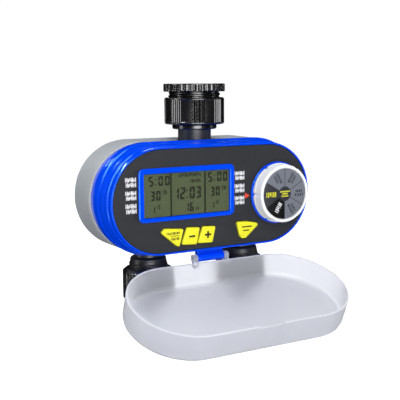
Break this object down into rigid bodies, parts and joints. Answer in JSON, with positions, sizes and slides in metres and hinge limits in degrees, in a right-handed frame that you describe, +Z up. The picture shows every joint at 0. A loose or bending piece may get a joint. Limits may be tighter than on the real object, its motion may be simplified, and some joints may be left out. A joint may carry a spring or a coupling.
{
  "type": "irrigation controller",
  "caption": "Tap timer for garden watering: blue and grey oblong body, display, keys and dial behind a hinged clear cover, swivel inlet above, threaded hose outlets below.",
  "frame": {"origin": "centre of the threaded inlet's mouth, on the top face of the inlet adapter", "axes": "+Z up along the inlet, out of its mouth; -Y is the side with the display and dial; +X is the dial's side"},
  "size_m": [0.1466, 0.1164, 0.1518],
  "materials": {
    "blue_shell": "satin moulded",
    "grey_shell": "fine texture",
    "face_plastic": "fine texture",
    "black_plastic": "satin moulded",
    "valve_plastic": "satin moulded",
    "yellow_rubber": "soft key",
    "mat_rubber": "plain",
    "seal_rubber": "plain",
    "black_rubber": "plain",
    "knob_plastic": "satin moulded",
    "label_print": "printed sectors",
    "lens_clear": "clear",
    "lcd_glass": "display glass",
    "cover_clear": "clear, frosted",
    "steel": "plated",
    "board_green": "solder mask",
    "switch_plastic": "plain",
    "gear_plastic": "acetal",
    "motor_can": "plated",
    "battery_skin": "sleeved cell",
    "tray_plastic": "plain",
    "filter_mesh": "fine mesh"
  },
  "bodies": {
    "housing": {"front_housing": "blue_shell", "rear_housing": "grey_shell", "left_seal": "seal_rubber", "right_seal": "seal_rubber", "bottom_seal": "seal_rubber", "faceplate": "face_plastic", "lcd_bezel": "blue_shell", "lcd_window": "lens_clear", "lcd_module": "lcd_glass", "keypad_mat": "mat_rubber", "dial_seat_ring": "blue_shell", "rotary_switch": "switch_plastic", "circuit_board": "board_green", "hinge_pin": "steel", "valve_manifold": "valve_plastic", "swivel_collar": "black_plastic", "inlet_washer": "black_rubber", "inlet_filter": "filter_mesh", "left_motor": "motor_can", "right_motor": "motor_can", "left_outlet_washer": "black_rubber", "right_outlet_washer": "black_rubber", "battery_tray": "tray_plastic", "battery_left": "battery_skin", "battery_right": "battery_skin", "left_battery_spring": "steel", "right_battery_spring": "steel", "battery_contact": "steel", "battery_door": "grey_shell", "battery_door_seal": "seal_rubber", "battery_door_screw": "steel", "housing_screw_1": "steel", "housing_screw_2": "steel", "housing_screw_3": "steel", "housing_screw_4": "steel"},
    "cover": {"cover": "cover_clear"},
    "dial": {"dial_knob": "knob_plastic", "dial_label": "label_print", "dial_shaft": "switch_plastic"},
    "clear_key": {"clear_button": "yellow_rubber"},
    "minus_key": {"minus_button": "yellow_rubber"},
    "plus_key": {"plus_button": "yellow_rubber"},
    "manual_key": {"manual_button": "yellow_rubber"},
    "swivel_nut": {"inlet_nut": "black_plastic"},
    "adapter": {"inlet_adapter": "black_plastic"},
    "left_connector": {"left_outlet_connector": "black_plastic", "left_spigot_seal": "black_rubber"},
    "right_connector": {"right_outlet_connector": "black_plastic", "right_spigot_seal": "black_rubber"},
    "left_valve": {"left_valve_ball": "gear_plastic", "left_drive_gear": "gear_plastic"},
    "right_valve": {"right_valve_ball": "gear_plastic", "right_drive_gear": "gear_plastic"},
    "left_motor_pinion": {"left_pinion": "gear_plastic"},
    "right_motor_pinion": {"right_pinion": "gear_plastic"}
  },
  "joints": [
    {"name": "cover_hinge", "type": "hinge", "parent": "housing", "child": "cover", "pos_m": [-0.0015, -0.0214, -0.10816], "axis": [-1, 0, 0], "range_deg": [0, 111.4]},
    {"name": "dial_turn", "type": "hinge", "parent": "housing", "child": "dial", "pos_m": [0.04551, -0.0268, -0.07], "axis": [0, -1, 0], "continuous": true},
    {"name": "clear_press", "type": "slide", "parent": "housing", "child": "clear_key", "axis": [0, 1, 0], "range_m": [0, 0.0008], "stiffness_N_per_m": 300},
    {"name": "minus_press", "type": "slide", "parent": "housing", "child": "minus_key", "axis": [0, 1, 0], "range_m": [0, 0.0008], "stiffness_N_per_m": 300},
    {"name": "plus_press", "type": "slide", "parent": "housing", "child": "plus_key", "axis": [0, 1, 0], "range_m": [0, 0.0008], "stiffness_N_per_m": 300},
    {"name": "manual_press", "type": "slide", "parent": "housing", "child": "manual_key", "axis": [0, 1, 0], "range_m": [0, 0.0008], "stiffness_N_per_m": 300},
    {"name": "nut_swivel", "type": "hinge", "parent": "housing", "child": "swivel_nut", "pos_m": [0, 0, -0.017], "axis": [0, 0, 1], "continuous": true},
    {"name": "adapter_turn", "type": "hinge", "parent": "swivel_nut", "child": "adapter", "pos_m": [0, 0, -0.008], "axis": [0, 0, 1], "continuous": true},
    {"name": "left_connector_turn", "type": "hinge", "parent": "housing", "child": "left_connector", "pos_m": [-0.0344, 0, -0.125], "axis": [0, 0, 1], "continuous": true},
    {"name": "right_connector_turn", "type": "hinge", "parent": "housing", "child": "right_connector", "pos_m": [0.0344, 0, -0.125], "axis": [0, 0, 1], "continuous": true},
    {"name": "left_valve_turn", "type": "hinge", "parent": "housing", "child": "left_valve", "pos_m": [-0.0344, 0, -0.07], "axis": [0, 1, 0], "range_deg": [0, 90]},
    {"name": "left_pinion_spin", "type": "hinge", "parent": "housing", "child": "left_motor_pinion", "pos_m": [-0.01865, -0.0121, -0.07], "axis": [0, 1, 0], "range_deg": [-290, 2]},
    {"name": "right_valve_turn", "type": "hinge", "parent": "housing", "child": "right_valve", "pos_m": [0.0344, 0, -0.07], "axis": [0, 1, 0], "range_deg": [0, 90]},
    {"name": "right_pinion_spin", "type": "hinge", "parent": "housing", "child": "right_motor_pinion", "pos_m": [0.01865, -0.0121, -0.07], "axis": [0, 1, 0], "range_deg": [-290, 2]}
  ],
  "couplings": [
    {"joint": "left_pinion_spin", "follows": "left_valve_turn", "ratio": -3.2},
    {"joint": "right_pinion_spin", "follows": "right_valve_turn", "ratio": -3.2}
  ]
}
